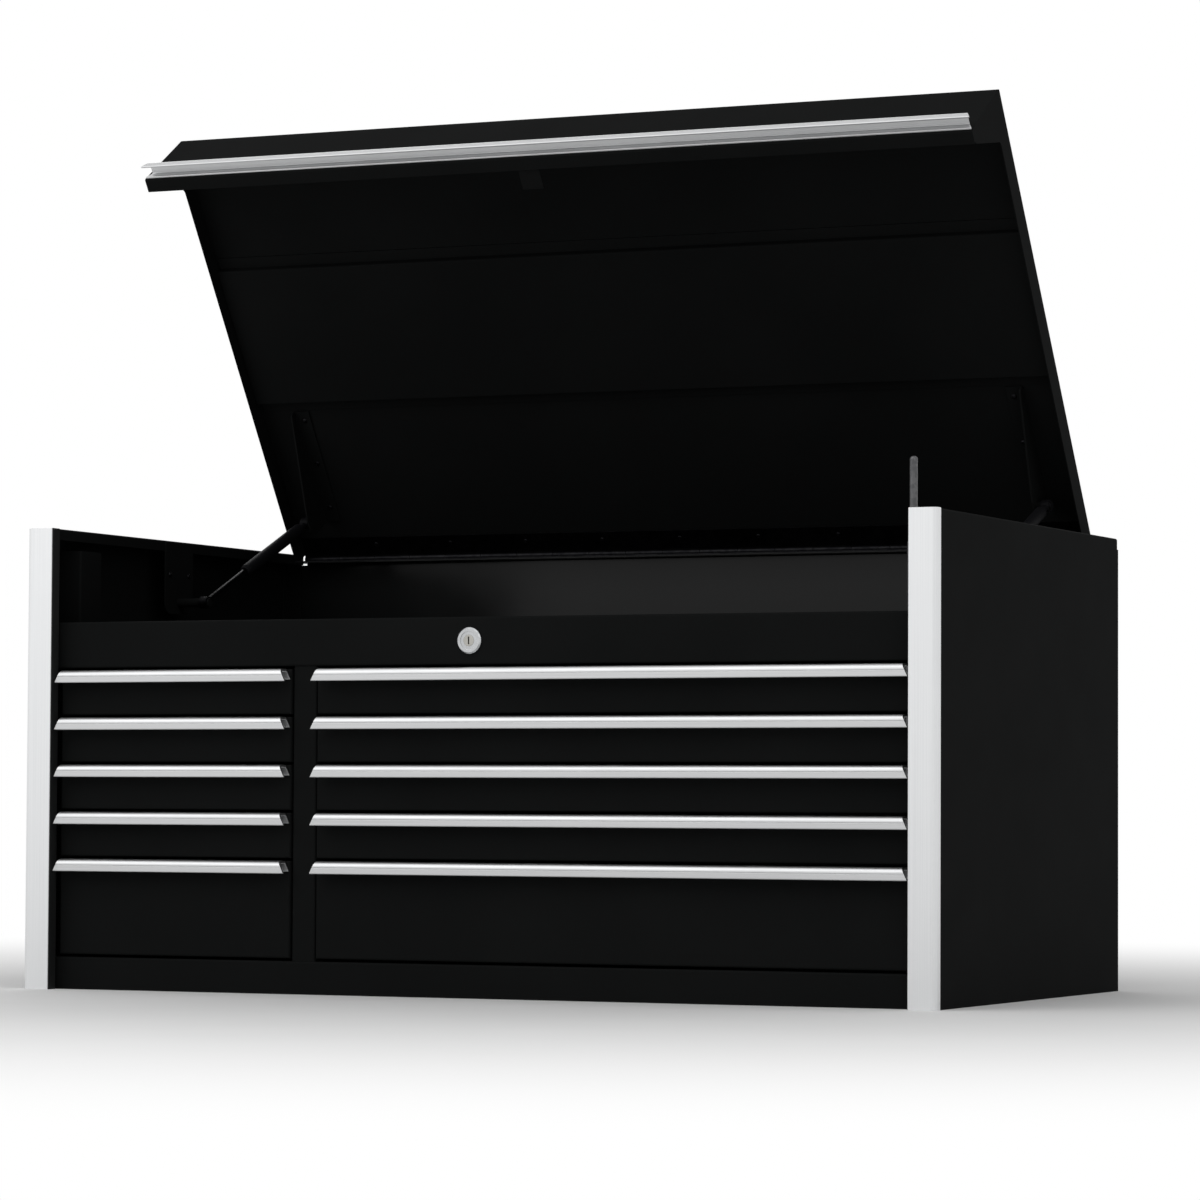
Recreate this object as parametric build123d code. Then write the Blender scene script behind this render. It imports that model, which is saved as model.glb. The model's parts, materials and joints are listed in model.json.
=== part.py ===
"""Ten-drawer tool chest with a lift-up lid, as separate named pieces.

Millimetres. +X is right, +Y is back, +Z is up, and the origin is under the middle of the chest.
The lid is drawn shut and then turned open about its hinge, which is how the chest rests.
"""

import math
import os

from build123d import *

# Overall size: across the corner posts, post face to back panel, floor to post top
WIDTH = 1054.0
DEPTH = 580.0
HEIGHT = 500.0

# Sheet steel of the cabinet and the lid, its inside bend radius, and the drawer steel
SHEET = 1.2
BEND = 1.2
TRAY_SHEET = 1.0
TRAY_BEND = 1.5

# Aluminium corner posts: front face, outer and inner returns, wall, rounded outer corner
POST_FACE = 31.5
POST_RETURN = 11.0
POST_INNER_RETURN = 15.0
POST_WALL = 2.0
POST_OUTER_RADIUS = 5.0
POST_INNER_RADIUS = 2.0
POST_NEST = 0.2

# The plane of the drawer fronts, rails and lid skirt, behind the post faces
FRONT_SETBACK = 20.0

# Side panel flanges: the top one ends in a lip turned down
TOP_LIP = 12.0

# Channel uprights behind the posts that carry the drawer slides
UPRIGHT_SETBACK = 60.0
UPRIGHT_DEPTH = 45.0
UPRIGHT_TOP_DROP = 22.0

# Front rails
BOTTOM_RAIL_TOP = 35.0
RAIL_RETURN = 12.0
HEADER_FACE = 50.0
HEADER_LIP = 10.0
HEADER_SHELF = 40.0
PAN_FLANGE = 15.0

# Drawers: four shallow fronts over one deep front in each of two banks
SHALLOW_DRAWERS = 4
DEEP_TO_SHALLOW = 2.15
FRONT_GAP = 3.0
SIDE_GAP = 1.5
FRONT_DEPTH = 14.0
FRONT_RADIUS = 2.2
TRAY_RISE = 4.0
TRAY_DROP = 8.0
TRAY_RIM = 5.0
TRAY_REAR_GAP = 32.0

# Stile between the banks: left edge from the chest's left side, and face width
STILE_START = 318.0
STILE_FACE = 28.0
STILE_SETBACK = 22.0

# Two-piece drawer slides, a little lower than the shallow tray sides
SLIDE_DEPTH = 12.7
SLIDE_WALL = 1.5
SLIDE_LIP = 11.0
SLIDE_START = 62.0
SLIDE_REAR_GAP = 43.0
SLIDE_MARGIN = 3.0
RUNNING_GAP = 0.3

# Pull trims on the drawers and the lid
PULL_REACH = 16.0
PULL_WALL = 2.2
PULL_LEG = 1.8
PULL_NOSE = 6.0
PULL_HEIGHT = 13.4
PULL_END_SLANT = 7.0
PULL_GROOVE = 0.7

# Lid: clearance to the posts, skirt and its gap over the header, flanges, front corner gusset
LID_CLEARANCE = 1.0
LID_SKIRT = 100.0
LID_GAP = 2.0
LID_FLANGE = 26.0
LID_FLANGE_RADIUS = 8.0
LID_GUSSET = 50.0
LID_RETURN = 16.0
LID_OPEN_ANGLE = 56.3

# Hat-shaped stiffener across the underside of the lid, placed from the hinge
STIFFENER_NEAR = 216.0
STIFFENER_FAR = 390.0
STIFFENER_RISE = 9.0
STIFFENER_FLANGE = 14.0

# Continuous hinge at the rear top edge
BARREL_RADIUS = 4.0
PIN_RADIUS = 1.6
FIT = 0.05
LEAF_WALL = 1.2
LEAF_WIDTH = 28.0
KNUCKLES = 21
KNUCKLE_GAP = 0.5
HINGE_END_GAP = 1.5
BACK_FLANGE = 32.0

# Gas struts: distance from the side, then wall and lid pivots ahead of the hinge and below the lid top
STRUT_INSET = 65.0
STRUT_PIVOT_AHEAD = 298.0
STRUT_PIVOT_BELOW = 70.0
STRUT_LID_ALONG = 64.0
STRUT_LID_BELOW = 30.0
STRUT_EYE_RADIUS = 7.0
STRUT_EYE_WIDTH = 9.0
STRUT_PIN_RADIUS = 3.0
STRUT_HEAD_RADIUS = 5.0
STRUT_HEAD_WIDTH = 2.0
STRUT_ROD_RADIUS = 3.5
STRUT_TUBE_RADIUS = 7.0
STRUT_TUBE_LENGTH = 160.0
STRUT_ROD_LENGTH = 150.0
STRUT_NECK = 20.0
STRUT_END_WALL = 5.0
STRUT_BRACKET_WALL = 2.0
STRUT_BRACKET_LENGTH = 62.0
STRUT_BRACKET_DROP = 13.0
STRUT_WEB_GAP = 5.0
STRUT_WEB_END = 200.0
STRUT_WEB_TIP = 10.0
STRUT_FOOT = 20.0

# Key lock in the middle of the header, with a hook cam behind it
LOCK_BEZEL_RADIUS = 14.0
LOCK_BEZEL_WALL = 3.0
LOCK_SLEEVE_RADIUS = 9.5
LOCK_PLUG_RADIUS = 6.0
LOCK_LENGTH = 30.0
LOCK_PLUG_RECESS = 0.6
LOCK_NUT_RADIUS = 14.0
LOCK_NUT_WALL = 4.0
KEYWAY_WIDTH = 1.6
KEYWAY_HEIGHT = 8.0
KEYWAY_DEPTH = 5.0
CAM_WALL = 2.0
CAM_WIDTH = 12.0
CAM_HOOK = 10.0
CAM_TIP = 5.0
STRIKE_WALL = 1.5
STRIKE_WIDTH = 25.0
STRIKE_LEG = 30.0
STRIKE_REACH = 8.0
STRIKE_RISE = 2.0

# Rod beside the right post that the closing lid pushes down
ROD_INSET = 50.0
ROD_BACK = 66.0
ROD_RADIUS = 4.0
ROD_ABOVE_TOP = 57.0
ROD_LENGTH = 145.0
GUIDE_RADIUS = 6.5
GUIDE_TOP_DROP = 30.0
GUIDE_STRAP_WALL = 3.0
GUIDE_STRAP_HEIGHT = 15.0

# Places worked out from the sizes above
FRONT = -DEPTH / 2
BACK = DEPTH / 2
FACE = FRONT + FRONT_SETBACK
SKIN_OUTER = WIDTH / 2 - POST_WALL
SKIN_INNER = SKIN_OUTER - SHEET
POST_EDGE = WIDTH / 2 - POST_FACE
LIP_EDGE = POST_EDGE + POST_WALL
BACK_INNER = BACK - SHEET
SLIDE_LENGTH = DEPTH - SLIDE_START - SLIDE_REAR_GAP
REAR_UPRIGHT_SETBACK = SLIDE_START + SLIDE_LENGTH - UPRIGHT_DEPTH
TRAY_BACK = BACK_INNER - TRAY_REAR_GAP
STILE_LEFT = -WIDTH / 2 + STILE_START
STILE_RIGHT = STILE_LEFT + STILE_FACE
SKIRT_BOTTOM = HEIGHT - LID_SKIRT
HEADER_TOP = SKIRT_BOTTOM - LID_GAP
HEADER_BOTTOM = HEADER_TOP - HEADER_FACE
FRONTS_ROOM = HEADER_BOTTOM - BOTTOM_RAIL_TOP - FRONT_GAP
SHALLOW_FRONT = (FRONTS_ROOM - (SHALLOW_DRAWERS + 1) * FRONT_GAP) / (SHALLOW_DRAWERS + DEEP_TO_SHALLOW)
DEEP_FRONT = SHALLOW_FRONT * DEEP_TO_SHALLOW
SLIDE_HEIGHT = SHALLOW_FRONT - TRAY_RISE - TRAY_DROP - 2 * SLIDE_MARGIN
FLOOR_UNDER = HEADER_BOTTOM + SHEET
FLOOR_TOP = FLOOR_UNDER + SHEET
LID_EDGE = POST_EDGE - LID_CLEARANCE
LID_UNDER = HEIGHT - SHEET
HINGE_Z = LID_UNDER - RUNNING_GAP - BARREL_RADIUS
HINGE_Y = BACK - BARREL_RADIUS - 2 * RUNNING_GAP
HINGE_HALF = LID_EDGE - SHEET - HINGE_END_GAP
HINGE_AXIS = Axis((0, HINGE_Y, HINGE_Z), (1, 0, 0))
LOCK_Z = HEADER_BOTTOM + HEADER_FACE / 2
SIDE_RADIUS = max(BEND + SHEET, POST_OUTER_RADIUS - POST_WALL + POST_NEST)
EYE_MIDDLE = WIDTH / 2 - STRUT_INSET
EYE_OUTER = EYE_MIDDLE + STRUT_EYE_WIDTH / 2
EYE_INNER = EYE_MIDDLE - STRUT_EYE_WIDTH / 2


def offset_run(points, distance):
    """Move an open run of points to its left, keeping the corners mitred."""
    directions = [(after - before).normalized() for before, after in zip(points, points[1:])]
    lefts = [Vector(-way.Y, way.X) for way in directions]
    moved = []
    for index, point in enumerate(points):
        before = lefts[max(index - 1, 0)]
        after = lefts[min(index, len(lefts) - 1)]
        moved.append(point + (before + after) * (distance / (1 + before.dot(after))))
    return moved


def bent_sheet(corners, wall, bend):
    """Section of a bent strip: a run of corners thickened to its left, with rounded bends."""
    near = [Vector(*corner) for corner in corners]
    far = offset_run(near, wall)
    bends = bend if isinstance(bend, list) else [bend] * (len(near) - 2)
    near_radii = []
    far_radii = []
    for before, corner, after, inside in zip(near, near[1:], near[2:], bends):
        turn = (corner - before).cross(after - corner).Z
        near_radii.append(inside + wall if turn > 0 else inside)
        far_radii.append(inside if turn > 0 else inside + wall)
    outline = FilletPolyline(*near, radius=near_radii)
    outline += FilletPolyline(*far, radius=far_radii)
    outline += Line(near[0], far[0])
    outline += Line(near[-1], far[-1])
    return make_face(outline)


def outlined(corners):
    """Flat face inside a closed run of straight edges."""
    return make_face(Polyline(*corners, close=True))


def along_x(section, low, high):
    """Run a section drawn in Y and Z from one X to another."""
    return extrude(Plane.YZ.offset(low) * section, high - low)


def along_y(section, low, high):
    """Run a section drawn in X and Z from one Y to another."""
    return extrude(Plane.XZ.offset(-high) * section, high - low)


def along_z(section, low, high):
    """Run a section drawn in X and Y from one Z to another."""
    return extrude(Plane.XY.offset(low) * section, high - low)


def block(low, high):
    """Box between two opposite corners."""
    size = [b - a for a, b in zip(low, high)]
    middle = [(a + b) / 2 for a, b in zip(low, high)]
    return Pos(*middle) * Box(*size)


def rod_x(radius, low, high, y, z):
    """Round bar along X."""
    return Pos((low + high) / 2, y, z) * Rot(0, 90, 0) * Cylinder(radius, high - low)


def rod_y(radius, low, high, x, z):
    """Round bar along Y."""
    return Pos(x, (low + high) / 2, z) * Rot(90, 0, 0) * Cylinder(radius, high - low)


def rod_z(radius, low, high, x, y):
    """Round bar along Z."""
    return Pos(x, y, (low + high) / 2) * Cylinder(radius, high - low)


def mirrored(piece):
    """The same piece on the other side of the chest."""
    return mirror(piece, about=Plane.YZ)


def group(*pieces):
    """Several separate solids kept in one node."""
    return Compound([solid for piece in pieces for solid in piece.solids()])


def opened(piece):
    """Turn a piece of the shut lid to where the lid rests open."""
    return piece.rotate(HINGE_AXIS, -LID_OPEN_ANGLE)


# Cabinet
def corner_post():
    """Right corner post, an extruded channel with a rounded outer corner."""
    corners = [
        (POST_EDGE, FRONT + POST_INNER_RETURN),
        (POST_EDGE, FRONT),
        (WIDTH / 2, FRONT),
        (WIDTH / 2, FRONT + POST_RETURN),
    ]
    bends = [max(POST_INNER_RADIUS - POST_WALL, 0.0), POST_OUTER_RADIUS - POST_WALL]
    return along_z(bent_sheet(corners, POST_WALL, bends), 0, HEIGHT)


def side_panel():
    """Right side panel: a pressed pan, open below, its inner face cut back to flanges and a top lip."""
    pan = block((LIP_EDGE, FRONT + POST_WALL, 0), (SKIN_OUTER, BACK_INNER, HEIGHT))
    pan = fillet(pan.edges().filter_by(Axis.Z).group_by(Axis.X)[-1], SIDE_RADIUS)
    pan = fillet(pan.edges().filter_by(Axis.Y).group_by(Axis.Z)[-1], BEND + SHEET)
    panel = offset(pan, -SHEET, openings=pan.faces().sort_by(Axis.Z)[0])
    return panel - block((POST_EDGE, FRONT, -1), (LIP_EDGE + POST_WALL, BACK, HEIGHT - TOP_LIP))


def back_panel():
    """Back panel with a top flange, notched beside it for the lid's side flanges."""
    flange_top = HINGE_Z - BARREL_RADIUS - RUNNING_GAP
    section = [(BACK, 0), (BACK, flange_top), (BACK - BACK_FLANGE, flange_top)]
    panel = along_x(bent_sheet(section, SHEET, BEND), -SKIN_OUTER, SKIN_OUTER)
    notch_edge = HINGE_HALF + RUNNING_GAP
    notch_low = flange_top - BEND - SHEET
    notch = block(
        (notch_edge, BACK - 2 * BACK_FLANGE, notch_low),
        (WIDTH, BACK + 1, HEIGHT),
    )
    return panel - notch - mirrored(notch)


def bottom_pan():
    """Floor of the cabinet, turned up along its front and back edges."""
    front = FACE + SHEET
    section = [
        (front, PAN_FLANGE),
        (front, 0),
        (BACK_INNER, 0),
        (BACK_INNER, PAN_FLANGE),
    ]
    pan = along_x(bent_sheet(section, SHEET, BEND), -SKIN_INNER, SKIN_INNER)
    corner = block(
        (LIP_EDGE, BACK_INNER - SIDE_RADIUS, -1),
        (WIDTH, BACK, PAN_FLANGE + 1),
    )
    return pan - corner - mirrored(corner)


def bottom_rail():
    """Front rail under the bottom drawers."""
    section = [
        (FACE + RAIL_RETURN, BOTTOM_RAIL_TOP),
        (FACE, BOTTOM_RAIL_TOP),
        (FACE, 0),
    ]
    return along_x(bent_sheet(section, SHEET, BEND), -SKIN_INNER, SKIN_INNER)


def header_rail():
    """Front rail over the top drawers, with the hole for the lock."""
    section = [
        (FACE + RAIL_RETURN, HEADER_TOP - HEADER_LIP),
        (FACE + RAIL_RETURN, HEADER_TOP),
        (FACE, HEADER_TOP),
        (FACE, HEADER_BOTTOM),
        (FACE + HEADER_SHELF, HEADER_BOTTOM),
    ]
    rail = along_x(bent_sheet(section, SHEET, BEND), -SKIN_INNER, SKIN_INNER)
    return rail - rod_y(LOCK_SLEEVE_RADIUS + FIT, FACE - 1, FACE + HEADER_SHELF, 0, LOCK_Z)


def centre_divider():
    """Stile between the banks, with a wall back from each of its edges for the slides."""
    front = FRONT + STILE_SETBACK
    rear = BACK_INNER - SHEET - BEND
    plan = [
        (STILE_LEFT, rear),
        (STILE_LEFT, front),
        (STILE_RIGHT, front),
        (STILE_RIGHT, rear),
    ]
    divider = along_z(bent_sheet(plan, SHEET, BEND), SHEET, FLOOR_UNDER)
    notch_low = (STILE_LEFT - 1, FRONT, 0)
    divider -= block(notch_low, (STILE_RIGHT + 1, FACE + RAIL_RETURN, BOTTOM_RAIL_TOP))
    divider -= block(notch_low, (STILE_RIGHT + 1, FACE + SHEET + BEND + SHEET, PAN_FLANGE))
    shelf_low = (STILE_LEFT - 1, FRONT, HEADER_BOTTOM)
    return divider - block(shelf_low, (STILE_RIGHT + 1, FACE + HEADER_SHELF, HEIGHT))


def till_floor():
    """Floor of the compartment under the lid, notched around the front uprights."""
    upright_front = FRONT + UPRIGHT_SETBACK
    upright_back = upright_front + UPRIGHT_DEPTH
    rear = BACK_INNER - SHEET
    half = [
        (0, FACE + SHEET + BEND),
        (SKIN_INNER, FACE + SHEET + BEND),
        (SKIN_INNER, upright_front),
        (POST_EDGE, upright_front),
        (POST_EDGE, upright_back),
        (SKIN_INNER, upright_back),
        (SKIN_INNER, BACK_INNER - SIDE_RADIUS),
        (SKIN_INNER - SIDE_RADIUS, rear),
        (0, rear),
    ]
    right = along_z(outlined(half), FLOOR_UNDER, FLOOR_TOP)
    return right + mirrored(right)


def upright(setback, top):
    """Right-hand channel upright whose web carries the slides."""
    front = FRONT + setback
    plan = [
        (SKIN_INNER, front + UPRIGHT_DEPTH),
        (POST_EDGE, front + UPRIGHT_DEPTH),
        (POST_EDGE, front),
        (SKIN_INNER, front),
    ]
    return along_z(bent_sheet(plan, SHEET, BEND), SHEET, top)


# Drawers, slides and pulls
def front_bottoms():
    """Bottom edge of each drawer front, the top drawer first."""
    deep = BOTTOM_RAIL_TOP + FRONT_GAP
    first_shallow = deep + DEEP_FRONT + FRONT_GAP
    step = SHALLOW_FRONT + FRONT_GAP
    shallow = [first_shallow + step * index for index in range(SHALLOW_DRAWERS)]
    return [*reversed(shallow), deep]


def front_heights():
    """Height of each drawer front, the top drawer first."""
    return [SHALLOW_FRONT] * SHALLOW_DRAWERS + [DEEP_FRONT]


def slide_channel(depth, height):
    """Section of a slide member: a channel from a web at X = 0, open towards +X."""
    corners = [
        (depth, height / 2),
        (0, height / 2),
        (0, -height / 2),
        (depth, -height / 2),
    ]
    return bent_sheet(corners, SLIDE_WALL, SLIDE_WALL / 3)


def slide_height_of(bottom, height):
    """Height at which a drawer's slides are centred: the middle of its tray side."""
    return bottom + (height + TRAY_RISE - TRAY_DROP) / 2


def rail_pair(left_web, right_web, middle):
    """Cabinet members of one drawer's slides, on the webs at its two sides."""
    low = FRONT + SLIDE_START
    member = along_y(slide_channel(SLIDE_LIP, SLIDE_HEIGHT), low, low + SLIDE_LENGTH)
    return [
        Pos(left_web, 0, middle) * member,
        Pos(right_web, 0, middle) * mirrored(member),
    ]


def runner_pair(left_web, right_web, middle):
    """Drawer members of one drawer's slides, nested in the cabinet members."""
    low = FRONT + SLIDE_START
    height = SLIDE_HEIGHT - 2 * (SLIDE_WALL + RUNNING_GAP)
    depth = SLIDE_DEPTH - SLIDE_WALL - 2 * RUNNING_GAP
    member = along_y(slide_channel(depth, height), low, low + SLIDE_LENGTH)
    return [
        Pos(left_web + SLIDE_DEPTH, 0, middle) * mirrored(member),
        Pos(right_web - SLIDE_DEPTH, 0, middle) * member,
    ]


def drawer(left_web, right_web, front_left, front_right, bottom, height):
    """Painted drawer: a folded tray welded to a shallow pan that is its front."""
    front = block(
        (front_left, FACE, bottom),
        (front_right, FACE + FRONT_DEPTH, bottom + height),
    )
    front = fillet(front.faces().sort_by(Axis.Y)[0].edges(), FRONT_RADIUS)
    front = offset(front, -TRAY_SHEET, openings=front.faces().sort_by(Axis.Y)[-1])
    low = bottom + TRAY_RISE
    top = bottom + height - TRAY_DROP
    left = left_web + SLIDE_DEPTH
    right = right_web - SLIDE_DEPTH
    run = [
        (left + TRAY_RIM, top),
        (left, top),
        (left, low),
        (right, low),
        (right, top),
        (right - TRAY_RIM, top),
    ]
    tray = along_y(bent_sheet(run, TRAY_SHEET, TRAY_BEND), FACE + TRAY_SHEET, TRAY_BACK)
    back = along_y(rounded_outline(left, right, low, top), TRAY_BACK - TRAY_SHEET, TRAY_BACK)
    return front + tray + back


def rounded_outline(left, right, low, top):
    """Rectangle with the tray's outside corner radius."""
    corners = [(left, low), (right, low), (right, top), (left, top)]
    return make_face(FilletPolyline(*corners, radius=TRAY_BEND + TRAY_SHEET, close=True))


def pull(left, right, top):
    """Full-width pull trim: back leg, ledge and rounded lip, its ends slanted."""
    lip = FACE - PULL_REACH
    bottom = top - PULL_HEIGHT
    leg_end = bottom + PULL_WALL
    nose = min(PULL_NOSE, PULL_HEIGHT / 2)
    corners = [
        (FACE, top),
        (lip, top),
        (lip, bottom),
        (lip + PULL_WALL, bottom),
        (lip + PULL_WALL, top - PULL_WALL),
        (FACE - PULL_LEG, top - PULL_WALL),
        (FACE - PULL_LEG, leg_end),
        (FACE, leg_end),
    ]
    tip = PULL_WALL * 0.45
    radii = [0.0, nose, tip, tip, max(nose - PULL_WALL, 0.5), 0.8, 0.5, 0.0]
    section = make_face(FilletPolyline(*corners, radius=radii, close=True))
    bar = along_x(section, left, right)
    groove_top = top - nose - PULL_GROOVE / 2
    bar -= block(
        (left - 1, lip - 1, groove_top - PULL_GROOVE),
        (right + 1, lip + PULL_GROOVE * 0.6, groove_top),
    )
    slant = PULL_END_SLANT
    for end, way in ((left, 1), (right, -1)):
        wedge = outlined([(end - way, bottom), (end, bottom), (end + way * slant, top + 1), (end - way, top + 1)])
        bar -= along_y(wedge, lip - 1, FACE + 1)
    return bar


# Lid and hinge, drawn shut
def lid_shell():
    """Lid top with its front skirt, side flanges and front corner gussets."""
    section = [
        (HINGE_Y, HEIGHT),
        (FACE, HEIGHT),
        (FACE, SKIRT_BOTTOM),
        (FACE + LID_RETURN, SKIRT_BOTTOM),
    ]
    shell = along_x(bent_sheet(section, SHEET, BEND), -LID_EDGE, LID_EDGE)
    rear = HINGE_Y - BARREL_RADIUS - 2 * RUNNING_GAP
    bend = BEND + SHEET
    side = [
        (FACE, HEIGHT),
        (FACE, SKIRT_BOTTOM),
        (FACE + LID_RETURN, SKIRT_BOTTOM),
        (FACE + LID_GUSSET, HEIGHT - LID_FLANGE),
        (rear, HEIGHT - LID_FLANGE),
        (rear, HEIGHT),
    ]
    radii = [bend, bend, LID_FLANGE / 2, LID_FLANGE_RADIUS, LID_FLANGE_RADIUS / 2, 0.0]
    outline = FilletPolyline(*side, radius=radii, close=True)
    flange = along_x(make_face(outline), LID_EDGE - SHEET, LID_EDGE)
    return shell + flange + mirrored(flange)


def lid_stiffener():
    """Hat-shaped strip across the underside of the lid, between its side flanges."""
    near = HINGE_Y - STIFFENER_NEAR
    far = HINGE_Y - STIFFENER_FAR
    section = [
        (near + STIFFENER_FLANGE, LID_UNDER),
        (near, LID_UNDER),
        (near, LID_UNDER - STIFFENER_RISE),
        (far, LID_UNDER - STIFFENER_RISE),
        (far, LID_UNDER),
        (far - STIFFENER_FLANGE, LID_UNDER),
    ]
    half = LID_EDGE - SHEET - BEND
    return along_x(bent_sheet(section, SHEET, BEND), -half, half)


def knuckle_spans(first):
    """X spans of every second hinge knuckle."""
    step = 2 * HINGE_HALF / KNUCKLES
    return [
        (-HINGE_HALF + step * index + KNUCKLE_GAP / 2, -HINGE_HALF + step * (index + 1) - KNUCKLE_GAP / 2)
        for index in range(first, KNUCKLES, 2)
    ]


def hinge_leaf(first, side):
    """Hinge leaf lying over (side 1) or under (side -1) the barrel, with its knuckles."""
    outer = BARREL_RADIUS + RUNNING_GAP
    levels = sorted([HINGE_Z + side * outer, HINGE_Z + side * (outer - LEAF_WALL)])
    leaf = block(
        (-HINGE_HALF, HINGE_Y - LEAF_WIDTH, levels[0]),
        (HINGE_HALF, HINGE_Y - outer, levels[1]),
    )
    for low, high in knuckle_spans(first):
        leaf += block((low, HINGE_Y - outer - 1, levels[0]), (high, HINGE_Y, levels[1]))
        leaf += rod_x(BARREL_RADIUS, low, high, HINGE_Y, HINGE_Z)
    return leaf - rod_x(PIN_RADIUS + FIT, -WIDTH, WIDTH, HINGE_Y, HINGE_Z)


def hinge_pin():
    """Pin through every knuckle."""
    return rod_x(PIN_RADIUS, -HINGE_HALF, HINGE_HALF, HINGE_Y, HINGE_Z)


# Gas struts
def strut_plan():
    """Wall pivot, lid pivot as it rests and as it shuts, and the strut's angle and length for both."""
    wall = Vector(0, HINGE_Y - STRUT_PIVOT_AHEAD, HEIGHT - STRUT_PIVOT_BELOW)
    shut = Vector(0, HINGE_Y - STRUT_LID_ALONG, HEIGHT - STRUT_LID_BELOW)
    hinge = Vector(0, HINGE_Y, HINGE_Z)
    rest = hinge + (shut - hinge).rotate(Axis.X, -LID_OPEN_ANGLE)
    angles = [math.degrees(math.atan2((end - wall).Z, (end - wall).Y)) for end in (rest, shut)]
    lengths = [(end - wall).length for end in (rest, shut)]
    return wall, shut, angles, lengths


def strut_rod():
    """Right strut rod with its eye on the wall pivot, drawn along +Y."""
    eye = rod_x(STRUT_EYE_RADIUS, EYE_INNER, EYE_OUTER, 0, 0)
    rod = rod_y(STRUT_ROD_RADIUS, STRUT_PIN_RADIUS, STRUT_ROD_LENGTH, EYE_MIDDLE, 0)
    bore = rod_x(STRUT_PIN_RADIUS + FIT, EYE_INNER - 1, EYE_OUTER + 1, 0, 0)
    return eye + rod - bore


def strut_tube(length):
    """Right strut cylinder with the eye at its lid end, drawn along +Y."""
    start = length - STRUT_TUBE_LENGTH
    closed_end = length - STRUT_NECK - STRUT_END_WALL
    tube = rod_y(STRUT_TUBE_RADIUS, start, length - STRUT_NECK, EYE_MIDDLE, 0)
    tube = fillet(tube.edges(), STRUT_TUBE_RADIUS * 0.2)
    tube += rod_y(STRUT_ROD_RADIUS, closed_end, length, EYE_MIDDLE, 0)
    tube += rod_x(STRUT_EYE_RADIUS, EYE_INNER, EYE_OUTER, length, 0)
    head = EYE_OUTER + STRUT_HEAD_WIDTH
    tube += rod_x(STRUT_HEAD_RADIUS, EYE_OUTER, head, length, 0)
    return tube - rod_y(STRUT_ROD_RADIUS + FIT, start - 1, closed_end, EYE_MIDDLE, 0)


def placed_strut(piece):
    """Turn a strut piece to the angle it rests at and set it on the wall pivot."""
    wall, _, angles, _ = strut_plan()
    return Pos(*wall) * Rot(angles[0], 0, 0) * piece


def strut_wall_bracket():
    """Plate hung from the right top lip, with the pivot pin of the strut."""
    wall, _, _, _ = strut_plan()
    half = STRUT_BRACKET_LENGTH / 2
    low = wall.Z - STRUT_BRACKET_DROP
    plate_outline = FilletPolyline(
        (wall.Y - half, low),
        (wall.Y + half, low),
        (wall.Y + half, LID_UNDER - BEND),
        (wall.Y - half, LID_UNDER - BEND),
        radius=[STRUT_BRACKET_DROP * 0.8, STRUT_BRACKET_DROP * 0.8, 1.0, 1.0],
        close=True,
    )
    face = LIP_EDGE - STRUT_BRACKET_WALL
    bracket = along_x(make_face(plate_outline), face, LIP_EDGE)
    bracket += rod_x(STRUT_HEAD_RADIUS, EYE_OUTER + RUNNING_GAP, face, wall.Y, wall.Z)
    bracket += rod_x(STRUT_PIN_RADIUS, EYE_INNER - RUNNING_GAP, face, wall.Y, wall.Z)
    head = EYE_INNER - RUNNING_GAP - STRUT_HEAD_WIDTH
    return bracket + rod_x(STRUT_HEAD_RADIUS, head, EYE_INNER - RUNNING_GAP, wall.Y, wall.Z)


def strut_lid_bracket():
    """Angle under the right side of the lid, with the shoulder that the strut's upper eye sits against."""
    _, shut, _, _ = strut_plan()
    outer = EYE_INNER - STRUT_WEB_GAP
    inner = outer - STRUT_BRACKET_WALL
    far = HINGE_Y - STRUT_WEB_END
    low = shut.Z - STRUT_BRACKET_DROP
    web_outline = FilletPolyline(
        (far, LID_UNDER),
        (far, LID_UNDER - STRUT_WEB_TIP),
        (shut.Y - STRUT_BRACKET_DROP, low),
        (shut.Y + STRUT_BRACKET_DROP, low),
        (shut.Y + STRUT_BRACKET_DROP, LID_UNDER),
        radius=[0.0, STRUT_WEB_TIP / 3, STRUT_BRACKET_DROP / 2, STRUT_BRACKET_DROP * 0.8, 0.0],
        close=True,
    )
    bracket = along_x(make_face(web_outline), inner, outer)
    bracket += block(
        (outer - STRUT_FOOT, far, LID_UNDER - STRUT_BRACKET_WALL),
        (outer, shut.Y + STRUT_BRACKET_DROP, LID_UNDER),
    )
    return bracket + rod_x(STRUT_HEAD_RADIUS, outer, EYE_INNER - RUNNING_GAP, shut.Y, shut.Z)


# Lock
def lock_housing():
    """Lock bezel and sleeve, bored for the plug."""
    rear = FACE + LOCK_LENGTH
    bezel = rod_y(LOCK_BEZEL_RADIUS, FACE - LOCK_BEZEL_WALL, FACE, 0, LOCK_Z)
    bezel = chamfer(bezel.edges().group_by(Axis.Y)[0], LOCK_BEZEL_WALL * 0.5)
    dish = rod_y(LOCK_SLEEVE_RADIUS, FACE - LOCK_BEZEL_WALL - 1, FACE - LOCK_BEZEL_WALL + 0.8, 0, LOCK_Z)
    housing = bezel - dish + rod_y(LOCK_SLEEVE_RADIUS, FACE - 1, rear, 0, LOCK_Z)
    return housing - rod_y(LOCK_PLUG_RADIUS + FIT, FACE - LOCK_BEZEL_WALL - 1, rear + 1, 0, LOCK_Z)


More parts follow.
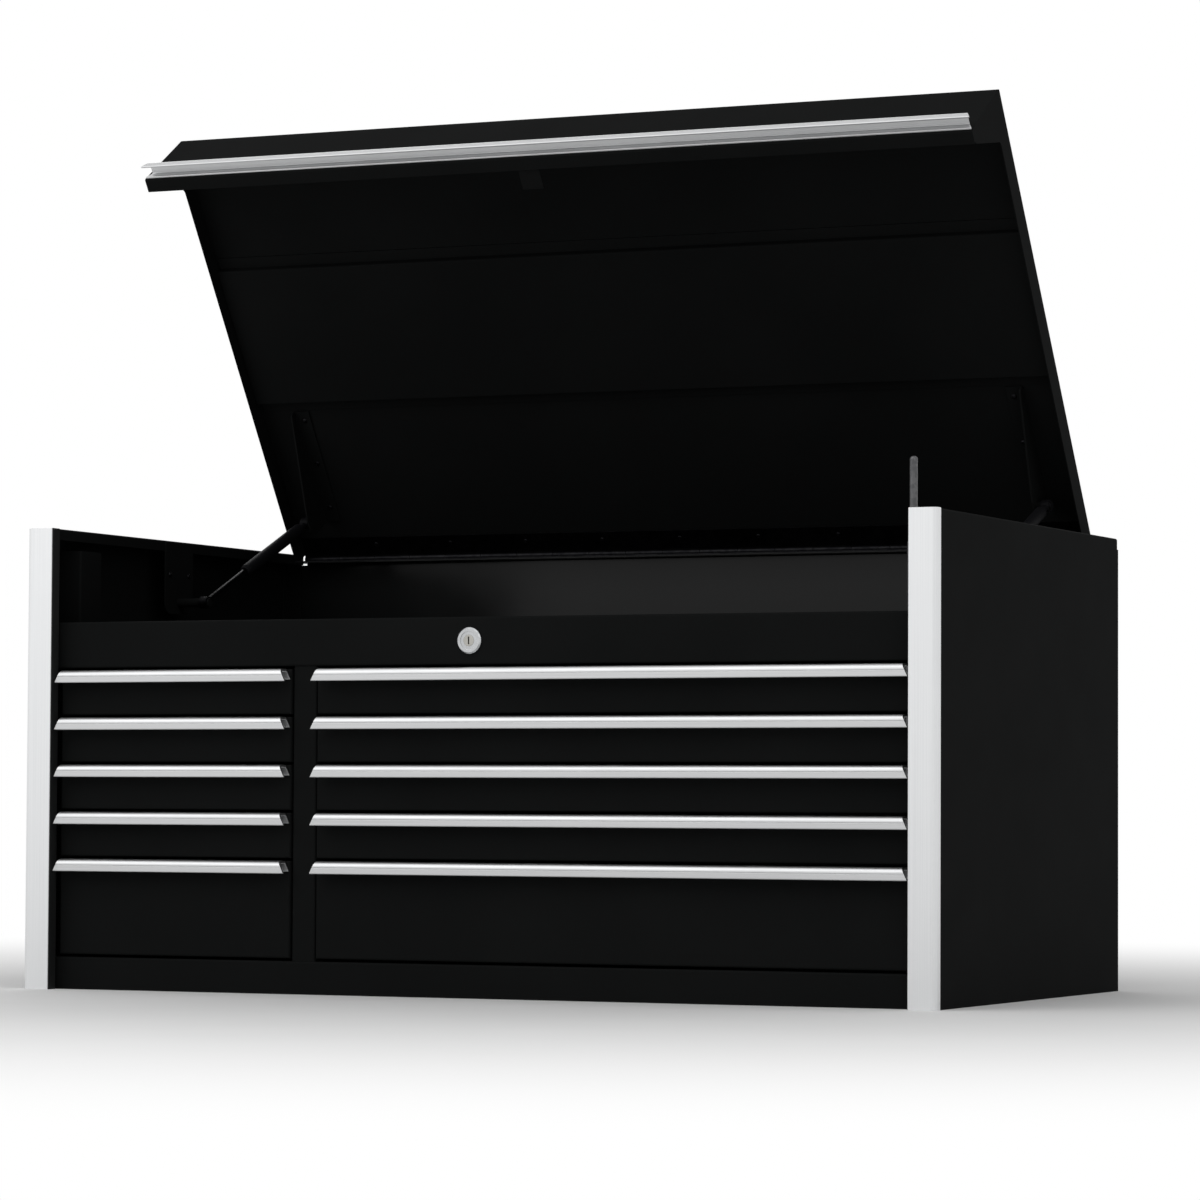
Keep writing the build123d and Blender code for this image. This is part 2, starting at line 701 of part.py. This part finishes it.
def lock_nut():
    """Hexagon nut that holds the lock against the back of the header."""
    low = FACE + SHEET
    hexagon = Pos(0, LOCK_Z) * RegularPolygon(LOCK_NUT_RADIUS, 6)
    nut = along_y(hexagon, low, low + LOCK_NUT_WALL)
    return nut - rod_y(LOCK_SLEEVE_RADIUS + FIT, low - 1, low + LOCK_NUT_WALL + 1, 0, LOCK_Z)


def lock_plug():
    """Plug that the key turns, with its keyway and the square end that holds the cam."""
    front = FACE - LOCK_BEZEL_WALL + LOCK_PLUG_RECESS
    rear = FACE + LOCK_LENGTH + RUNNING_GAP
    plug = rod_y(LOCK_PLUG_RADIUS, front, rear, 0, LOCK_Z)
    square = LOCK_PLUG_RADIUS / 2
    plug += block((-square, rear - 1, LOCK_Z - square), (square, rear + CAM_WALL + 1, LOCK_Z + square))
    half = KEYWAY_HEIGHT / 2
    keyway = block(
        (-KEYWAY_WIDTH / 2, front - 1, LOCK_Z - half),
        (KEYWAY_WIDTH / 2, front + KEYWAY_DEPTH, LOCK_Z + half),
    )
    return plug - keyway


def strike_top():
    """Upper face of the lid strike when the lid is shut."""
    return SKIRT_BOTTOM + STRIKE_RISE + STRIKE_WALL


def lock_cam():
    """Hook cam on the plug: drawn locked, pointing up, then turned to point right."""
    low = FACE + LOCK_LENGTH + RUNNING_GAP
    half = CAM_WIDTH / 2
    hook_under = strike_top() + 2 * RUNNING_GAP
    tip = hook_under + CAM_TIP
    corners = [
        (-half, LOCK_Z - half),
        (half, LOCK_Z - half),
        (half, tip),
        (-half - CAM_HOOK, tip),
        (-half - CAM_HOOK, hook_under),
        (-half, hook_under),
    ]
    radii = [half * 0.9, half * 0.9, CAM_TIP * 0.8, 1.0, 0.5, 0.5]
    cam = along_y(make_face(FilletPolyline(*corners, radius=radii, close=True)), low, low + CAM_WALL)
    square = LOCK_PLUG_RADIUS / 2
    cam -= block((-square, low - 1, LOCK_Z - square), (square, low + CAM_WALL + 1, LOCK_Z + square))
    return cam.rotate(Axis((0, 0, LOCK_Z), (0, 1, 0)), 90)


def lid_strike():
    """Bent plate inside the lid skirt that the hook of the cam reaches over."""
    inner = FACE + SHEET
    reach = FACE + LOCK_LENGTH + CAM_WALL + STRIKE_REACH
    low = SKIRT_BOTTOM + STRIKE_RISE
    section = [(reach, low), (inner, low), (inner, low + STRIKE_LEG)]
    right = -CAM_WIDTH / 2 - STRIKE_RISE
    lifted = [(y, z) for y, z in reversed(section)]
    return along_x(bent_sheet(lifted, STRIKE_WALL, BEND), right - STRIKE_WIDTH, right)


# Lid-worked rod
def lock_rod():
    """Rod with a rounded top that stands up while the lid is open."""
    x = WIDTH / 2 - ROD_INSET
    y = FRONT + ROD_BACK
    top = HEIGHT + ROD_ABOVE_TOP
    rod = rod_z(ROD_RADIUS, top - ROD_LENGTH, top, x, y)
    return fillet(rod.edges().sort_by(Axis.Z)[-1], ROD_RADIUS * 0.9)


def lock_rod_guide():
    """Tube that the rod runs in, strapped to the web of the right front upright."""
    x = WIDTH / 2 - ROD_INSET
    y = FRONT + ROD_BACK
    top = HEIGHT - GUIDE_TOP_DROP
    guide = rod_z(GUIDE_RADIUS, FLOOR_TOP, top, x, y)
    half = GUIDE_STRAP_WALL / 2
    for low in (FLOOR_TOP + GUIDE_STRAP_HEIGHT, top - 2 * GUIDE_STRAP_HEIGHT):
        guide += block((x, y - half, low), (POST_EDGE, y + half, low + GUIDE_STRAP_HEIGHT))
    return guide - rod_z(ROD_RADIUS + FIT, FLOOR_TOP - 1, top + 1, x, y)


def build_nodes():
    """Every node of the chest by name."""
    post = corner_post()
    side = side_panel()
    front_upright = upright(UPRIGHT_SETBACK, HEIGHT - UPRIGHT_TOP_DROP)
    rear_upright = upright(REAR_UPRIGHT_SETBACK, FLOOR_UNDER)
    nodes = {
        "corner_post_left": mirrored(post),
        "corner_post_right": post,
        "side_panel_left": mirrored(side),
        "side_panel_right": side,
        "back_panel": back_panel(),
        "bottom_pan": bottom_pan(),
        "bottom_rail": bottom_rail(),
        "header_rail": header_rail(),
        "centre_divider": centre_divider(),
        "till_floor": till_floor(),
        "slide_uprights": group(mirrored(front_upright), front_upright, mirrored(rear_upright), rear_upright),
        "hinge_leaf_cabinet": hinge_leaf(0, -1),
        "hinge_pin": hinge_pin(),
        "hinge_leaf_lid": opened(hinge_leaf(1, 1)),
        "lid_shell": opened(lid_shell()),
        "lid_stiffener": opened(lid_stiffener()),
        "lid_pull": opened(pull(-LID_EDGE, LID_EDGE, SKIRT_BOTTOM + PULL_HEIGHT)),
        "lid_strike": opened(lid_strike()),
        "lock_housing": lock_housing(),
        "lock_nut": lock_nut(),
        "lock_plug": lock_plug(),
        "lock_cam": lock_cam(),
        "lock_rod": lock_rod(),
        "lock_rod_guide": lock_rod_guide(),
    }
    bracket = strut_wall_bracket()
    lid_bracket = opened(strut_lid_bracket())
    rod = placed_strut(strut_rod())
    tube = placed_strut(strut_tube(strut_plan()[3][0]))
    nodes["strut_wall_brackets"] = group(mirrored(bracket), bracket)
    nodes["strut_lid_brackets"] = group(mirrored(lid_bracket), lid_bracket)
    nodes["strut_rods"] = group(mirrored(rod), rod)
    nodes["strut_tubes"] = group(mirrored(tube), tube)
    banks = {
        "left": (-POST_EDGE, STILE_LEFT),
        "right": (STILE_RIGHT, POST_EDGE),
    }
    for bank, (left, right) in banks.items():
        rails = []
        for index, (bottom, height) in enumerate(zip(front_bottoms(), front_heights()), start=1):
            middle = slide_height_of(bottom, height)
            front_left = left + SIDE_GAP
            front_right = right - SIDE_GAP
            rails += rail_pair(left, right, middle)
            nodes[f"runners_{bank}_{index}"] = group(*runner_pair(left, right, middle))
            nodes[f"drawer_{bank}_{index}"] = drawer(left, right, front_left, front_right, bottom, height)
            nodes[f"pull_{bank}_{index}"] = pull(front_left, front_right, bottom + height)
        nodes[f"slide_rails_{bank}"] = group(*rails)
    return nodes


def main():
    """Write one STEP file for each node."""
    os.makedirs("parts", exist_ok=True)
    for name, piece in build_nodes().items():
        export_step(piece, f"parts/{name}.step")


main()
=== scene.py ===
"""Looks of a ten-drawer tool chest with its lid open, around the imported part.

Metres, +X right, +Y back, +Z up.
"""

import json
import math

import bmesh
import bpy
from mathutils import Matrix, Vector


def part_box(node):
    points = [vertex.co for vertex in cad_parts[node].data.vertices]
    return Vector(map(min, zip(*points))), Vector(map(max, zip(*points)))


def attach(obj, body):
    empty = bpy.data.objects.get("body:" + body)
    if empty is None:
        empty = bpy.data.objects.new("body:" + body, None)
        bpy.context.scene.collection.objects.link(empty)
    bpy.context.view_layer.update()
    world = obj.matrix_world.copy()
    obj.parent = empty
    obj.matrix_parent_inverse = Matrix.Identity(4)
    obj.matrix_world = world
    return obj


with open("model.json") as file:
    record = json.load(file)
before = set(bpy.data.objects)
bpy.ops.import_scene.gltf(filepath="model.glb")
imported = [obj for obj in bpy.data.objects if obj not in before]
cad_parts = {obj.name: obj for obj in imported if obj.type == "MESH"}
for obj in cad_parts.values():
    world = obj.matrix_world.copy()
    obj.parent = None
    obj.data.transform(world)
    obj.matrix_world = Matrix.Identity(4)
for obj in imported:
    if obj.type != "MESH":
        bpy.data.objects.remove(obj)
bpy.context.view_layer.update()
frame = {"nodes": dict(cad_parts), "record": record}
scene = bpy.context.scene

# Camera, fitted to the photograph's edges
CAMERA_PLACE = (2.1288, -4.6004, 0.1991)
CAMERA_YAW = 24.563
CAMERA_PITCH = 2.576
CAMERA_ROLL = 0.291
CAMERA_LENS = 138.61

# Soft lights: name, place, target, size, power in watts
LAMPS = [
    ("key_light", (-2.2, -3.0, 2.5), (0.0, -0.1, 0.4), (3.2, 2.4), 31.0),
    ("fill_light", (2.8, -2.4, 2.6), (0.1, 0.0, 0.4), (1.6, 1.6), 5.0),
    ("top_light", (-0.1, -2.0, 3.3), (-0.1, -1.4, 0.0), (3.2, 1.6), 17.0),
    ("rear_light", (-1.8, 3.2, 2.6), (0.0, 0.2, 0.5), (2.0, 1.6), 16.0),
]

# Tones of the black paint
PAINT_DARK = (0.0088, 0.0093, 0.0093)
PAINT_LIGHT = (0.0108, 0.0113, 0.0113)
PAINT_WORN = (0.022, 0.023, 0.023)

# Rounding that the light shows along edges: paint and extrusions, and thin plated pieces
EDGE_RADIUS = 0.0005
THIN_EDGE_RADIUS = 0.0004
NO_STRETCH = (1.0, 1.0, 1.0)


# Node helpers
def new_material(name):
    """Node material with its tree and principled shader."""
    material = bpy.data.materials.new(name)
    material.use_nodes = True
    return material, material.node_tree, material.node_tree.nodes["Principled BSDF"]


def add_node(tree, kind, **settings):
    """New node with its own settings."""
    node = tree.nodes.new(kind)
    for key, value in settings.items():
        setattr(node, key, value)
    return node


def feed(tree, node, **inputs):
    """Set or link a node's inputs by name; an underscore stands for a blank."""
    for key, value in inputs.items():
        socket = node.inputs[key.replace("_", " ")]
        if isinstance(value, bpy.types.NodeSocket):
            tree.links.new(value, socket)
        else:
            socket.default_value = value
    return node


def sums(tree, operation, first, second):
    """One arithmetic step on two values, each a socket or a number."""
    node = add_node(tree, "ShaderNodeMath", operation=operation)
    for socket, value in zip(node.inputs, (first, second)):
        if isinstance(value, bpy.types.NodeSocket):
            tree.links.new(value, socket)
        else:
            socket.default_value = value
    return node.outputs["Value"]


def along(tree, vector, way):
    """How far a vector goes along a direction."""
    node = add_node(tree, "ShaderNodeVectorMath", operation="DOT_PRODUCT")
    feed(tree, node, Vector=vector)
    if isinstance(way, bpy.types.NodeSocket):
        tree.links.new(way, node.inputs[1])
    else:
        node.inputs[1].default_value = way
    return node.outputs["Value"]


def stretched(tree, scale):
    """Object coordinates times a scale along each axis."""
    place = add_node(tree, "ShaderNodeTexCoord")
    mapping = add_node(tree, "ShaderNodeMapping")
    feed(tree, mapping, Vector=place.outputs["Object"], Scale=scale)
    return mapping.outputs["Vector"]


def noise(tree, vector, scale, detail=3.0, roughness=0.55):
    """Noise from 0 to 1."""
    texture = add_node(tree, "ShaderNodeTexNoise")
    feed(tree, texture, Vector=vector, Scale=scale, Detail=detail, Roughness=roughness)
    return texture.outputs["Fac"]


def spread(tree, value, low, high, start=0.3, end=0.7, smooth=False):
    """A value from start to end turned into one from low to high."""
    node = add_node(tree, "ShaderNodeMapRange", interpolation_type="SMOOTHSTEP" if smooth else "LINEAR")
    feed(tree, node, Value=value, From_Min=start, From_Max=end, To_Min=low, To_Max=high)
    return node.outputs["Result"]


def tones(tree, value, stops):
    """Colours along a value."""
    node = add_node(tree, "ShaderNodeValToRGB")
    while len(node.color_ramp.elements) < len(stops):
        node.color_ramp.elements.new(0.5)
    for element, (place, colour) in zip(node.color_ramp.elements, stops):
        element.position = place
        element.color = (*colour, 1.0)
    tree.links.new(value, node.inputs["Fac"])
    return node.outputs["Color"]


def mixed(tree, factor, first, second):
    """Two colours mixed by a factor."""
    node = add_node(tree, "ShaderNodeMix", data_type="RGBA")
    tree.links.new(factor, node.inputs["Factor"])
    for socket, value in zip((node.inputs[6], node.inputs[7]), (first, second)):
        if isinstance(value, bpy.types.NodeSocket):
            tree.links.new(value, socket)
        else:
            socket.default_value = (*value, 1.0)
    return node.outputs[2]


def bumps(tree, height, strength, distance, under=None):
    """Bumped normal, on top of another one if given."""
    node = add_node(tree, "ShaderNodeBump")
    feed(tree, node, Height=height, Strength=strength, Distance=distance)
    if under is not None:
        tree.links.new(under, node.inputs["Normal"])
    return node.outputs["Normal"]


def soft_edges(tree, radius):
    """Normal rounded over at the edges, and how near an edge a point is, from 0 to 1."""
    bevel = add_node(tree, "ShaderNodeBevel", samples=4)
    feed(tree, bevel, Radius=radius)
    shape = add_node(tree, "ShaderNodeNewGeometry")
    level = along(tree, bevel.outputs["Normal"], shape.outputs["Normal"])
    return bevel.outputs["Normal"], spread(tree, level, 1.0, 0.0, 0.80, 0.995)


# Materials
def black_paint(name, dark, light, worn, rough, gloss):
    """Powder paint on sheet steel: fine orange peel, tone changes, rub marks, and wear along the edges."""
    material, tree, shader = new_material(name)
    whole = stretched(tree, NO_STRETCH)
    peel = noise(tree, whole, 620.0, 2.0)
    wide = noise(tree, whole, 5.0, 5.0)
    grain = noise(tree, whole, 2600.0, 2.0)
    patches = noise(tree, whole, 60.0, 4.0)
    rounded, edge = soft_edges(tree, EDGE_RADIUS)
    rubbed = sums(tree, "MULTIPLY", edge, spread(tree, patches, 0.15, 1.0, 0.40, 0.65))
    body = tones(tree, wide, [(0.3, dark), (0.7, light)])
    smear = spread(tree, noise(tree, whole, 17.0, 6.0), -0.015, 0.025)
    duller_edge = sums(tree, "MULTIPLY", edge, 0.30)
    feed(
        tree,
        shader,
        Base_Color=mixed(tree, rubbed, body, worn),
        Roughness=sums(tree, "ADD", smear, sums(tree, "ADD", rough, duller_edge)),
        Specular_IOR_Level=gloss,
        Normal=bumps(tree, grain, 0.06, 0.0001, bumps(tree, peel, 0.10, 0.0004, rounded)),
    )
    return material


def inner_flange_dark_reflection_mask(tree):
    """One on faces that look from the chest's left or right end towards its middle, zero elsewhere: the
    mask for the posts' painted dark reflection.
    """
    place = add_node(tree, "ShaderNodeTexCoord")
    sideways = along(tree, place.outputs["Normal"], (1.0, 0.0, 0.0))
    across = along(tree, place.outputs["Object"], (1.0, 0.0, 0.0))
    return spread(tree, sums(tree, "MULTIPLY", sideways, across), 1.0, 0.0, -0.35, -0.25)


def extruded(name, scale, dark, light, rough, draw, flange_painted_reflection=False):
    """Satin aluminium with the fine lines that the die leaves along the length, and brighter rubbed edges.

    Where the profile turns in towards the drawers, the flange option colours it black and takes its metal
    away. This is a painted reflection of the dark cabinet inside.
    """
    material, tree, shader = new_material(name)
    lines = noise(tree, stretched(tree, scale), 1.0, 4.0, 0.7)
    whole = stretched(tree, NO_STRETCH)
    cloud = noise(tree, whole, 14.0, 4.0)
    rounded, edge = soft_edges(tree, EDGE_RADIUS)
    drawn = tones(tree, lines, [(0.25, dark), (0.75, light)])
    polished = sums(tree, "MULTIPLY", edge, spread(tree, noise(tree, whole, 80.0), 0.2, 0.9))
    colour = mixed(tree, polished, drawn, tuple(min(1.0, 1.05 * part) for part in light))
    metal = 1.0
    if flange_painted_reflection:
        # Painted reflection: the inward flange gets the black paint colour and no metal, standing in for
        # the dark cabinet that it mirrors
        dark_reflection = inner_flange_dark_reflection_mask(tree)
        colour = mixed(tree, dark_reflection, colour, PAINT_LIGHT)
        metal = sums(tree, "SUBTRACT", 1.0, dark_reflection)
    feed(
        tree,
        shader,
        Base_Color=colour,
        Metallic=metal,
        Roughness=spread(tree, cloud, rough - 0.04, rough + 0.04),
        Normal=bumps(tree, lines, draw, 0.0002, rounded),
    )
    return material


def plated(name, dark, light, rough, spangle):
    """Plated steel: clouded crystals in the zinc, fine rolling lines and edges worn brighter."""
    material, tree, shader = new_material(name)
    whole = stretched(tree, NO_STRETCH)
    cells = add_node(tree, "ShaderNodeTexVoronoi")
    feed(tree, cells, Vector=whole, Scale=spangle)
    cloud = noise(tree, whole, 45.0, 4.0)
    lines = noise(tree, stretched(tree, (900.0, 6.0, 900.0)), 1.0, 3.0)
    rounded, edge = soft_edges(tree, THIN_EDGE_RADIUS)
    crystals = tones(tree, cells.outputs["Color"], [(0.2, dark), (0.8, light)])
    bare = sums(tree, "MULTIPLY", edge, spread(tree, cloud, 0.1, 0.8))
    feed(
        tree,
        shader,
        Base_Color=mixed(tree, bare, crystals, tuple(1.3 * part for part in light)),
        Metallic=1.0,
        Roughness=spread(tree, cloud, rough - 0.07, rough + 0.07),
        Normal=bumps(tree, lines, 0.12, 0.0002, rounded),
    )
    return material


def chrome(name, colour, rough):
    """Polished plate with faint finger marks."""
    material, tree, shader = new_material(name)
    whole = stretched(tree, NO_STRETCH)
    marks = noise(tree, whole, 160.0, 5.0)
    fine = noise(tree, whole, 900.0, 2.0)
    rounded, edge = soft_edges(tree, THIN_EDGE_RADIUS)
    darker = tuple(0.90 * part for part in colour)
    feed(
        tree,
        shader,
        Base_Color=mixed(tree, edge, tones(tree, marks, [(0.3, darker), (0.7, colour)]), colour),
        Metallic=1.0,
        Roughness=spread(tree, marks, rough, rough + 0.07),
        Normal=bumps(tree, fine, 0.05, 0.0001, rounded),
    )
    return material


# Lines of the extrusions: fine across, long along the piece
ALONG_X = (2.5, 1500.0, 1500.0)
ALONG_Z = (1500.0, 1500.0, 2.5)
paint = black_paint("black_powder_paint", PAINT_DARK, PAINT_LIGHT, PAINT_WORN, rough=0.55, gloss=0.004)
gloss_paint = black_paint("black_gloss_paint", PAINT_DARK, PAINT_LIGHT, PAINT_WORN, rough=0.16, gloss=0.18)
strut_black = black_paint(
    "satin_strut_paint",
    dark=(0.006, 0.006, 0.007),
    light=(0.009, 0.009, 0.010),
    worn=(0.030, 0.030, 0.031),
    rough=0.50,
    gloss=0.03,
)
pull_metal = extruded(
    "pull_aluminium",
    ALONG_X,
    dark=(0.50, 0.505, 0.51),
    light=(0.62, 0.625, 0.63),
    rough=0.40,
    draw=0.10,
)
post_metal = extruded(
    "post_aluminium",
    ALONG_Z,
    dark=(0.67, 0.68, 0.69),
    light=(0.78, 0.785, 0.79),
    rough=0.50,
    draw=0.10,
    # The posts' inner flanges get a painted dark reflection
    flange_painted_reflection=True,
)
zinc = plated("zinc_plate", (0.50, 0.51, 0.53), (0.68, 0.69, 0.70), rough=0.36, spangle=140.0)
dull_plate = plated("dull_plate", (0.085, 0.085, 0.088), (0.12, 0.12, 0.123), rough=0.38, spangle=260.0)
dark_plate = plated("dark_plate", (0.008, 0.008, 0.009), (0.014, 0.014, 0.015), rough=0.42, spangle=220.0)
bright_chrome = chrome("bright_chrome", (0.52, 0.53, 0.54), rough=0.22)
nickel = chrome("nickel_plate", (0.44, 0.43, 0.40), rough=0.26)
SLOT_MATERIALS = {
    "body_paint": paint,
    "bright_aluminium": pull_metal,
    "slide_steel": zinc,
    "hinge_steel": dark_plate,
    "bright_chrome": bright_chrome,
    "plug_brass": nickel,
    "strut_paint": strut_black,
    "plated_steel": dull_plate,
}
# Pieces whose finish differs from the rest of their slot
OWN_FINISH = {
    "corner_post_left": post_metal,
    "corner_post_right": post_metal,
    "back_panel": gloss_paint,
}
for part in frame["record"]["subparts"]:
    node = frame["nodes"][part["node"]]
    finish = OWN_FINISH.get(part["node"], SLOT_MATERIALS[part["material_slot"]])
    node.data.materials.clear()
    node.data.materials.append(finish)


# Small fixings on the lid, the cabinet and the struts
def joint_named(name):
    """A joint of the record."""
    return next(joint for joint in frame["record"]["behaviour"]["joints"] if joint["name"] == name)


lid_hinge = joint_named("lid_hinge")
hinge_place = Vector(lid_hinge["pos_m"])
lid_turn = Matrix.Rotation(-math.radians(lid_hinge["range_deg"][1]), 3, "X")
# Profiles from the rim to the middle, in millimetres: radius, height above the sheet
SCREW_HEAD = [(2.6, -0.2), (2.6, 0.25), (2.3, 0.85), (1.6, 1.25), (1.05, 1.3), (0.95, 0.75), (0.0, 0.65)]
RIVET_HEAD = [(3.2, -0.2), (3.2, 0.3), (2.8, 0.95), (1.9, 1.5), (1.0, 1.7), (0.8, 1.45), (0.0, 1.4)]
# Ring round the strut's rod, as a closed outline in millimetres: radius, place along the strut
GLAND_RING = [(3.7, 0.3), (6.2, 0.3), (6.2, -1.6), (5.4, -2.8), (4.4, -3.2), (3.7, -3.0)]
TURNED_SIDES = 20
SHARP_ANGLE = math.radians(40)


def on_open_lid(place):
    """Where a place on the shut lid is while the lid stands open."""
    return hinge_place + lid_turn @ (Vector(place) - hinge_place)


def turned(name, body, slot_name, places, way, profile, closed_ring=False):
    """One object of turned pieces: the same profile, in millimetres, on each place, facing one way."""
    facing = Vector(way).to_track_quat("Z", "Y").to_matrix()
    shape = bmesh.new()
    for place in places:
        rings = []
        for radius, height in profile:
            count = TURNED_SIDES if radius > 0 else 1
            ring = []
            for step in range(count):
                angle = 2 * math.pi * step / TURNED_SIDES
                spot = Vector((radius * math.cos(angle), radius * math.sin(angle), height)) / 1000
                ring.append(shape.verts.new(Vector(place) + facing @ spot))
            rings.append(ring)
        pairs = list(zip(rings, rings[1:]))
        if closed_ring:
            pairs.append((rings[-1], rings[0]))
        else:
            shape.faces.new(reversed(rings[0]))
        for outer, inner in pairs:
            for step in range(TURNED_SIDES):
                following = (step + 1) % TURNED_SIDES
                corners = [outer[step], outer[following]]
                corners += [inner[0]] if len(inner) == 1 else [inner[following], inner[step]]
                shape.faces.new(corners)
    bmesh.ops.recalc_face_normals(shape, faces=shape.faces)
    mesh = bpy.data.meshes.new(name)
    shape.to_mesh(mesh)
    shape.free()
    mesh.shade_smooth()
    mesh.set_sharp_from_angle(angle=SHARP_ANGLE)
    mesh.materials.append(SLOT_MATERIALS[slot_name])
    piece = bpy.data.objects.new(name, mesh)
    scene.collection.objects.link(piece)
    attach(piece, body)


def build_fixings():
    """Screws along the hinge, rivets in the strut brackets and a gland at each strut's rod end."""
    down_on_lid = lid_turn @ Vector((0.0, 0.0, -1.0))
    leaf_low, leaf_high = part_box("hinge_leaf_cabinet")
    leaf_offset = 0.0031
    cabinet_leaf_top = hinge_place.z - leaf_offset
    lid_leaf_under = hinge_place.z + leaf_offset
    screw_line = leaf_low.y + 0.010
    screw_count = 10
    spacing = (leaf_high.x - leaf_low.x) / screw_count
    cabinet_places = []
    for step in range(screw_count):
        cabinet_places.append((leaf_low.x + spacing * (step + 0.5), screw_line, cabinet_leaf_top))
    lid_places = []
    for step in range(screw_count - 1):
        lid_places.append(on_open_lid((leaf_low.x + spacing * (step + 1), screw_line, lid_leaf_under)))
    turned("hinge_screws_cabinet", "cabinet", "hinge_steel", cabinet_places, (0, 0, 1), SCREW_HEAD)
    turned("hinge_screws_lid", "lid", "hinge_steel", lid_places, down_on_lid, SCREW_HEAD)

    # Feet of the lid brackets, with the lid shut
    foot_under = 0.4968
    foot_middle = 0.4405
    rivet_rows = [hinge_place.y - distance for distance in (0.070, 0.130, 0.188)]
    lid_rivets = []
    for side in (-1, 1):
        for row in rivet_rows:
            lid_rivets.append(on_open_lid((side * foot_middle, row, foot_under)))
    turned("lid_bracket_rivets", "lid", "hinge_steel", lid_rivets, down_on_lid, RIVET_HEAD)

    plate_low, plate_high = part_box("strut_wall_brackets")
    plate_thickness = 0.002
    plate_face = plate_high.x - plate_thickness
    rivet_inset = 0.010
    rows = (plate_low.y + rivet_inset, plate_high.y - rivet_inset)
    rivet_drop = 0.036
    height = plate_high.z - rivet_drop
    for side, word in ((-1, "left"), (1, "right")):
        places = [(side * plate_face, row, height) for row in rows]
        turned("wall_bracket_rivets_" + word, "cabinet", "hinge_steel", places, (-side, 0, 0), RIVET_HEAD)

    pivot = Vector(joint_named("strut_pivot")["pos_m"])
    strut_way = Vector(joint_named("strut_extend")["axis"]).normalized()
    # The struts stand this far left and right, and their tubes start this far up from the pivot
    eye_middle = 0.462
    tube_start = 0.1036
    ends = [pivot + strut_way * tube_start + Vector((side * eye_middle, 0, 0)) for side in (-1, 1)]
    turned("strut_glands", "strut_upper", "strut_paint", ends, strut_way, GLAND_RING, closed_ring=True)


# Stage
def shows_white(tree):
    """One for rays from the camera, off glossy faces or through glass, zero for rays that light things."""
    path = add_node(tree, "ShaderNodeLightPath")
    mirrored = sums(tree, "MAXIMUM", path.outputs["Is Glossy Ray"], path.outputs["Is Transmission Ray"])
    return sums(tree, "MAXIMUM", path.outputs["Is Camera Ray"], mirrored)


def build_floor():
    """Plain pale floor, white in the distance."""
    mesh = bpy.data.meshes.new("floor")
    corners = 64
    reach = 60.0
    turns = [2 * math.pi * step / corners for step in range(corners)]
    rim = [(reach * math.cos(turn), reach * math.sin(turn), 0.0) for turn in turns]
    mesh.from_pydata(rim, [], [tuple(range(corners))])
    floor = bpy.data.objects.new("floor", mesh)
    scene.collection.objects.link(floor)
    material, tree, shader = new_material("pale_floor")
    place = add_node(tree, "ShaderNodeTexCoord").outputs["Object"]
    mottle = noise(tree, place, 3.0)
    feed(
        tree,
        shader,
        Base_Color=tones(tree, mottle, [(0.3, (0.79, 0.79, 0.79)), (0.7, (0.82, 0.82, 0.82))]),
        Roughness=0.8,
        Specular_IOR_Level=0.1,
    )
    distance = add_node(tree, "ShaderNodeVectorMath", operation="LENGTH")
    feed(tree, distance, Vector=place)
    white_start, white_end = 0.3, 2.2
    far = spread(tree, distance.outputs["Value"], 0.0, 1.0, white_start, white_end, smooth=True)
    white = sums(tree, "MULTIPLY", far, shows_white(tree))
    glow = add_node(tree, "ShaderNodeEmission")
    mix = add_node(tree, "ShaderNodeMixShader")
    tree.links.new(white, mix.inputs[0])
    tree.links.new(shader.outputs["BSDF"], mix.inputs[1])
    tree.links.new(glow.outputs["Emission"], mix.inputs[2])
    tree.links.new(mix.outputs["Shader"], tree.nodes["Material Output"].inputs["Surface"])
    material.cycles.emission_sampling = "NONE"
    mesh.materials.append(material)


def build_world():
    """White background, in reflections too, and a soft light from all round with a paler ceiling."""
    world = bpy.data.worlds.new("studio")
    world.use_nodes = True
    tree = world.node_tree
    way = add_node(tree, "ShaderNodeTexCoord").outputs["Generated"]
    height = along(tree, way, (0.0, 0.0, 1.0))
    wall_light, ceiling_light = 0.34, 0.50
    room = spread(tree, height, wall_light, ceiling_light, 0.1, 0.9)
    white = shows_white(tree)
    sky = tree.nodes["Background"]
    sky.inputs["Color"].default_value = (1.0, 1.0, 1.0, 1.0)
    tree.links.new(sums(tree, "MAXIMUM", room, white), sky.inputs["Strength"])
    scene.world = world


def soft_box(name, place, target, size, power):
    """Rectangular soft light."""
    lamp = bpy.data.lights.new(name, "AREA")
    lamp.shape = "RECTANGLE"
    lamp.size, lamp.size_y = size
    lamp.energy = power
    holder = bpy.data.objects.new(name, lamp)
    holder.location = place
    holder.rotation_euler = (Vector(target) - Vector(place)).to_track_quat("-Z", "Y").to_euler()
    holder.visible_camera = False
    scene.collection.objects.link(holder)


def build_camera():
    """Camera at the photograph's angle."""
    data = bpy.data.cameras.new("camera")
    data.lens = CAMERA_LENS
    data.clip_end = 200.0
    camera = bpy.data.objects.new("camera", data)
    turn = Matrix.Rotation(math.radians(CAMERA_YAW), 4, "Z")
    turn = turn @ Matrix.Rotation(math.radians(90.0 + CAMERA_PITCH), 4, "X")
    turn = turn @ Matrix.Rotation(math.radians(CAMERA_ROLL), 4, "Z")
    camera.matrix_world = Matrix.Translation(CAMERA_PLACE) @ turn
    scene.collection.objects.link(camera)
    scene.camera = camera


build_fixings()
build_floor()
build_world()
build_camera()
for lamp_facts in LAMPS:
    soft_box(*lamp_facts)
scene.view_settings.view_transform = "Standard"
